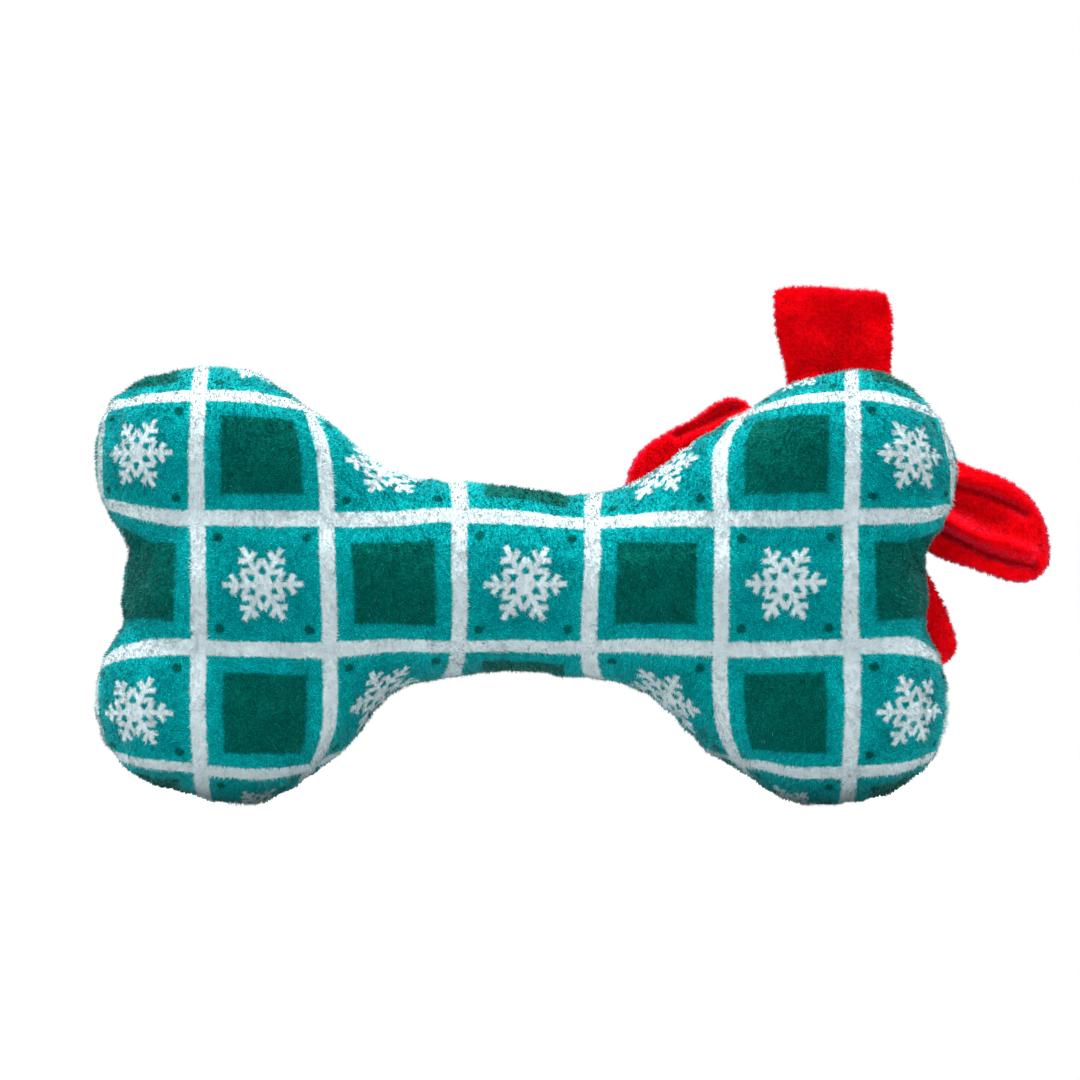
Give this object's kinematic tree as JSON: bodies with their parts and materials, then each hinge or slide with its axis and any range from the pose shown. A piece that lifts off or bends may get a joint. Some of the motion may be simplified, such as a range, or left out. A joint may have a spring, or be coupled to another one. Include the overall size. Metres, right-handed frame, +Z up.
{
  "type": "bone-shaped dog toy",
  "caption": "Stuffed plush dog toy in the shape of a bone, with a ribbon bow sewn to one end and a squeaker inside.",
  "frame": {"origin": "on the surface that the toy stands on, under the middle of its outer box; the bone's own middle is 11.4 mm to the -X side and 8.4 mm to the -Y side of it, because the bow reaches past the bone", "axes": "+X along the bone, towards the end with the bow; +Y from the rear panel to the front panel, which carries the bow; +Z up, with the bone standing on its two lower lobes"},
  "size_m": [0.2232, 0.0616, 0.1203],
  "materials": {
    "plush_fabric": "matte",
    "ribbon_velour": "matte",
    "sewing_thread": "matte",
    "bow_thread": "matte",
    "stuffing": "matte",
    "squeaker_plastic": "satin",
    "squeaker_plug_plastic": "satin"
  },
  "bodies": {
    "toy": {"rear_panel": "plush_fabric", "front_panel": "plush_fabric", "seam_needle_thread": "sewing_thread", "seam_bobbin_thread": "sewing_thread", "closing_stitch_thread": "sewing_thread", "stuffing_upper_left": "stuffing", "stuffing_lower_left": "stuffing", "stuffing_upper_right": "stuffing", "stuffing_lower_right": "stuffing", "stuffing_shaft_front": "stuffing", "stuffing_shaft_rear": "stuffing", "squeaker_bulb": "squeaker_plastic", "bow_knot": "ribbon_velour", "bow_tack_thread": "bow_thread"},
    "left_loop": {"bow_left_loop": "ribbon_velour"},
    "right_loop": {"bow_right_loop": "ribbon_velour"},
    "upper_tail": {"bow_upper_tail": "ribbon_velour"},
    "lower_tail": {"bow_lower_tail": "ribbon_velour"},
    "squeaker_top": {"squeaker_plug": "squeaker_plug_plastic", "squeaker_reed": "squeaker_plug_plastic"}
  },
  "joints": [
    {"name": "left_loop_bend", "type": "hinge", "parent": "toy", "child": "left_loop", "pos_m": [0.05102, 0.0218, 0.07563], "axis": [0, 0, -1], "range_deg": [0, 40], "stiffness_Nm_per_rad": 0.01},
    {"name": "right_loop_bend", "type": "hinge", "parent": "toy", "child": "right_loop", "pos_m": [0.07292, 0.0218, 0.07563], "axis": [0, 0, 1], "range_deg": [-5, 35], "stiffness_Nm_per_rad": 0.01},
    {"name": "upper_tail_bend", "type": "hinge", "parent": "toy", "child": "upper_tail", "pos_m": [0.06197, 0.0218, 0.08723], "axis": [-1, 0, 0], "range_deg": [-10, 60], "stiffness_Nm_per_rad": 0.008},
    {"name": "lower_tail_bend", "type": "hinge", "parent": "toy", "child": "lower_tail", "pos_m": [0.06621, 0.0218, 0.06331], "axis": [0.9455, 0, 0.3256], "range_deg": [0, 30], "stiffness_Nm_per_rad": 0.008},
    {"name": "squeaker_press", "type": "slide", "parent": "toy", "child": "squeaker_top", "axis": [0, 0, -1], "range_m": [0, 0.008], "stiffness_N_per_m": 1200, "deforming": ["squeaker_bulb"]}
  ]
}
